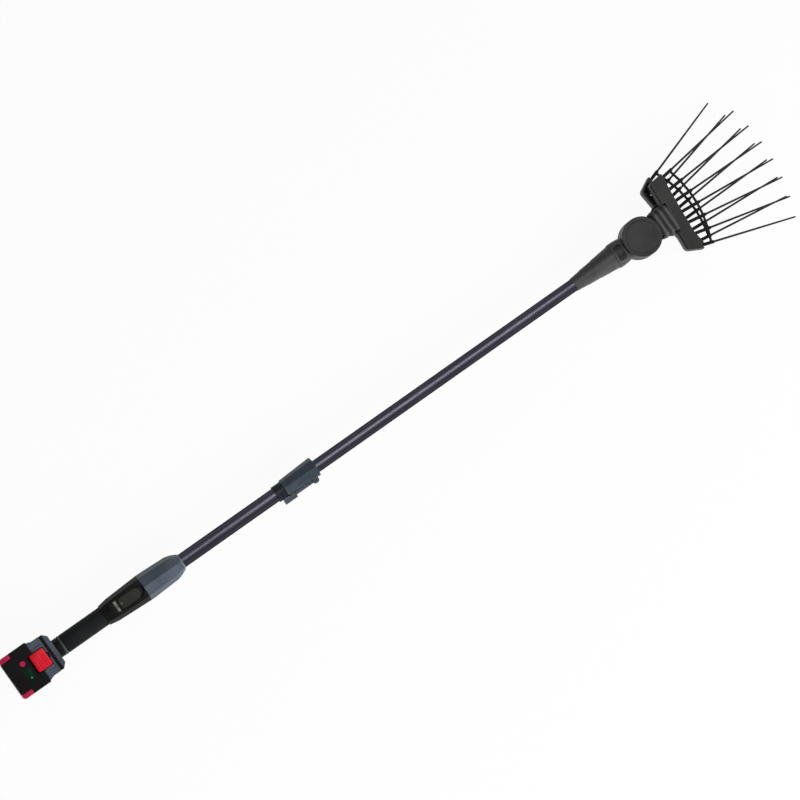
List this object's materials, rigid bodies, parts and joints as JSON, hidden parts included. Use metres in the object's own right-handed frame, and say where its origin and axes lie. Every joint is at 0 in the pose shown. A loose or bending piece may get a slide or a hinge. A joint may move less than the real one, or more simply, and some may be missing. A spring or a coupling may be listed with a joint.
{
  "type": "electric olive harvester",
  "caption": "Battery olive harvester: telescopic pole with clamp lever, thumb-switch grip, slide-on battery pack and a motor head whose opposed combs of long tines swing against each other.",
  "frame": {"origin": "on the pole's axis, in the middle of the bare stretch of the lower tube", "axes": "+X along the pole towards the combs, +Z out of the switch side, +Y to the side away from the clamp lever"},
  "size_m": [1.607, 0.2556, 0.1149],
  "materials": {
    "pack_black": "fine moulded texture",
    "pack_red": "satin moulded",
    "latch_red": "satin moulded",
    "window_green": "smooth",
    "cell_wrap": "wrapped cells",
    "board_green": "circuit board",
    "brass_contact": "stamped",
    "shell_slate": "fine moulded texture",
    "handle_black": "fine moulded texture",
    "grip_rubber": "soft",
    "pad_olive": "satin",
    "trim_silver": "satin",
    "tube_dark": "satin dark coat",
    "head_grey": "fine moulded texture",
    "boot_rubber": "matt",
    "tine_black": "carbon rod",
    "steel": "turned",
    "bronze": "sintered"
  },
  "bodies": {
    "root": {"battery_shoe": "shell_slate", "shoe_terminals": "brass_contact", "handle_half_left": "handle_black", "handle_half_right": "handle_black", "grip_sleeve": "grip_rubber", "control_panel": "handle_black", "indicator_bar": "trim_silver", "switch_body": "handle_black", "control_board": "board_green", "nose_shell": "shell_slate", "handle_screws": "steel", "lower_tube": "tube_dark", "clamp_ring": "handle_black", "clamp_collar": "shell_slate", "clamp_bush": "handle_black", "lever_pin": "steel"},
    "battery": {"battery_case": "pack_black", "battery_lid": "pack_black", "battery_bumper": "pack_red", "battery_cells": "cell_wrap", "battery_board": "board_green", "battery_contacts": "brass_contact", "gauge_window": "window_green"},
    "latch": {"battery_latch": "latch_red"},
    "gauge": {"gauge_button": "pack_red"},
    "power": {"power_slide": "pad_olive"},
    "lever": {"clamp_lever": "shell_slate"},
    "upper": {"upper_tube": "tube_dark", "tube_guide": "handle_black", "motor_housing": "head_grey", "barrel_collar": "head_grey", "access_plug": "handle_black", "motor_can": "steel", "motor_end_bell": "steel", "motor_screws": "steel", "gear_case": "head_grey", "gear_cover": "head_grey", "cover_screws": "steel", "shaft_bearings": "steel", "pivot_pin": "steel", "pivot_spacer": "steel", "neck_boot": "boot_rubber"},
    "motor": {"motor_rotor": "steel", "pinion": "steel"},
    "crank": {"crown_gear": "steel", "crank_shaft": "steel", "eccentric_rollers": "steel"},
    "front_comb": {"front_fork": "steel", "front_bush": "bronze", "front_palm": "head_grey", "front_tine_bar": "tine_black", "front_tines": "tine_black", "front_palm_screws": "steel"},
    "rear_comb": {"rear_fork": "steel", "rear_bush": "bronze", "rear_palm": "head_grey", "rear_tine_bar": "tine_black", "rear_tines": "tine_black", "rear_palm_screws": "steel"}
  },
  "joints": [
    {"name": "battery_slide", "type": "slide", "parent": "root", "child": "battery", "axis": [0, 0, 1], "range_m": [0, 0.095]},
    {"name": "latch_press", "type": "slide", "parent": "battery", "child": "latch", "axis": [-1, 0, 0], "range_m": [0, 0.004], "stiffness_N_per_m": 800},
    {"name": "gauge_press", "type": "slide", "parent": "battery", "child": "gauge", "axis": [0, 0, -1], "range_m": [0, 0.0012], "stiffness_N_per_m": 500},
    {"name": "power_travel", "type": "slide", "parent": "root", "child": "power", "axis": [1, 0, 0], "range_m": [0, 0.006]},
    {"name": "lever_swing", "type": "hinge", "parent": "root", "child": "lever", "pos_m": [0.172, -0.0194, 0], "axis": [0, 0, 1], "range_deg": [0, 110]},
    {"name": "pole_extend", "type": "slide", "parent": "root", "child": "upper", "axis": [1, 0, 0], "range_m": [0, 0.18]},
    {"name": "crank_spin", "type": "hinge", "parent": "upper", "child": "crank", "pos_m": [0.8804, 0, 0], "axis": [0, 0, 1], "range_deg": [0, 180]},
    {"name": "motor_spin", "type": "hinge", "parent": "upper", "child": "motor", "pos_m": [0.8, 0, 0], "axis": [1, 0, 0], "range_deg": [-720, 0]},
    {"name": "front_comb_swing", "type": "hinge", "parent": "upper", "child": "front_comb", "pos_m": [0.9164, 0, 0], "axis": [0, 0, 1], "range_deg": [0, 10]},
    {"name": "rear_comb_swing", "type": "hinge", "parent": "upper", "child": "rear_comb", "pos_m": [0.9164, 0, 0], "axis": [0, 0, 1], "range_deg": [-10, 0]}
  ],
  "couplings": [
    {"joint": "motor_spin", "follows": "crank_spin", "ratio": -4},
    {"joint": "front_comb_swing", "follows": "crank_spin", "ratio": 0.0555},
    {"joint": "rear_comb_swing", "follows": "crank_spin", "ratio": -0.0555}
  ]
}
